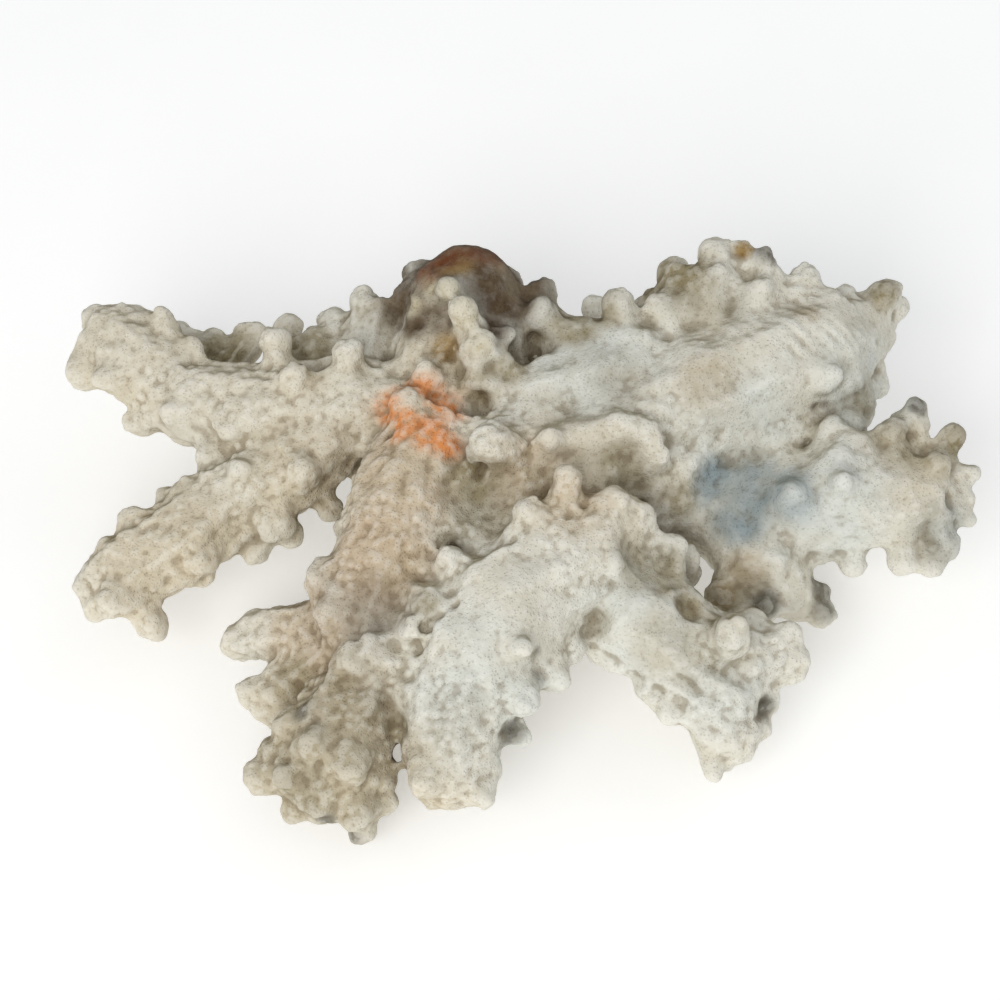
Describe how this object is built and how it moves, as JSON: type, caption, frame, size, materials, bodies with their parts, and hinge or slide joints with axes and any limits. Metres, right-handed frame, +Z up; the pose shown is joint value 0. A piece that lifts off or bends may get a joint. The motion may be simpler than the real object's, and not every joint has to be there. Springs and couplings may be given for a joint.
{
  "type": "branching coral",
  "caption": "Low, wide colony of knobbly branching coral skeleton, standing on a flat-cut foot",
  "frame": {"origin": "middle of the flat cut face that the colony rests on", "axes": "+X to the right along the widest spread, +Y to the back, where the brown stained lump is, +Z up"},
  "size_m": [0.2299, 0.149, 0.0704],
  "materials": {
    "white_skeleton": "matt, chalky, with fine corallite bumps",
    "cream_skeleton": "matt, chalky, with warm stains",
    "stained_skeleton": "matt, brown and rust stained"
  },
  "bodies": {
    "root": {"trunk": "white_skeleton", "left_upper_branch": "cream_skeleton", "left_lower_branch": "cream_skeleton", "front_left_branch": "cream_skeleton", "front_tip_branch": "cream_skeleton", "front_middle_branch": "white_skeleton", "front_right_branch": "white_skeleton", "right_branch": "white_skeleton", "right_lower_branch": "white_skeleton", "right_upper_branch": "white_skeleton", "back_branch": "white_skeleton", "back_knob": "stained_skeleton"}
  },
  "joints": []
}
